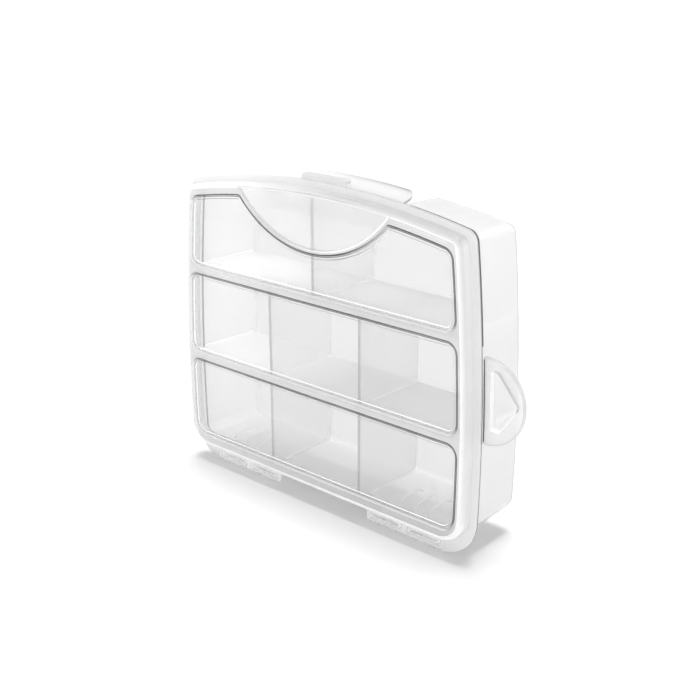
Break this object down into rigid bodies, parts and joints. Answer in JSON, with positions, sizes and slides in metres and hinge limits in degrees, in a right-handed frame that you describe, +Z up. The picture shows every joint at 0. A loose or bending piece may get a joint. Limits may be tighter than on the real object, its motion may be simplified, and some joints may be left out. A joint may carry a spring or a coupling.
{
  "type": "parts organizer",
  "caption": "Clear shallow compartment case standing on its hinge side, with a hinged windowed lid, pull lip and hanging ear.",
  "frame": {"origin": "middle of the base of the bounding box: the case stands upright on its hinge hooks at z = 0", "axes": "+X to the right seen from the lid, +Y from the lid's face to the tray's back, +Z up to the pull lip"},
  "size_m": [0.2439, 0.0544, 0.1916],
  "materials": {
    "frosted_plastic": "finely frosted clear plastic, softly translucent",
    "clear_plastic": "polished clear plastic",
    "satin_plastic": "natural moulded clear plastic with a satin surface"
  },
  "bodies": {
    "tray": {"tray_shell": "satin_plastic", "upper_shelf": "satin_plastic", "lower_shelf": "satin_plastic", "divider_top": "clear_plastic", "divider_middle_left": "clear_plastic", "divider_middle_right": "clear_plastic", "divider_bottom_left": "clear_plastic", "divider_bottom_right": "clear_plastic", "hanging_ear": "satin_plastic", "catch_nib": "frosted_plastic", "hinge_hook_1": "satin_plastic", "hinge_hook_2": "satin_plastic", "hinge_hook_3": "satin_plastic", "hinge_hook_4": "satin_plastic", "hinge_hook_5": "satin_plastic", "hinge_hook_6": "satin_plastic", "hinge_hook_7": "satin_plastic", "hinge_hook_8": "satin_plastic"},
    "lid": {"lid_frame": "frosted_plastic", "window_top": "clear_plastic", "window_middle": "clear_plastic", "window_bottom": "clear_plastic", "scoop_panel": "satin_plastic", "pull_lip": "frosted_plastic", "catch_boss": "frosted_plastic", "hinge_loop_1": "frosted_plastic", "hinge_loop_2": "frosted_plastic", "hinge_loop_3": "frosted_plastic", "hinge_loop_4": "frosted_plastic"}
  },
  "joints": [
    {"name": "lid_hinge", "type": "hinge", "parent": "tray", "child": "lid", "pos_m": [-0.01165, -0.01895, 0.0027], "axis": [1, 0, 0], "range_deg": [0, 180]}
  ]
}
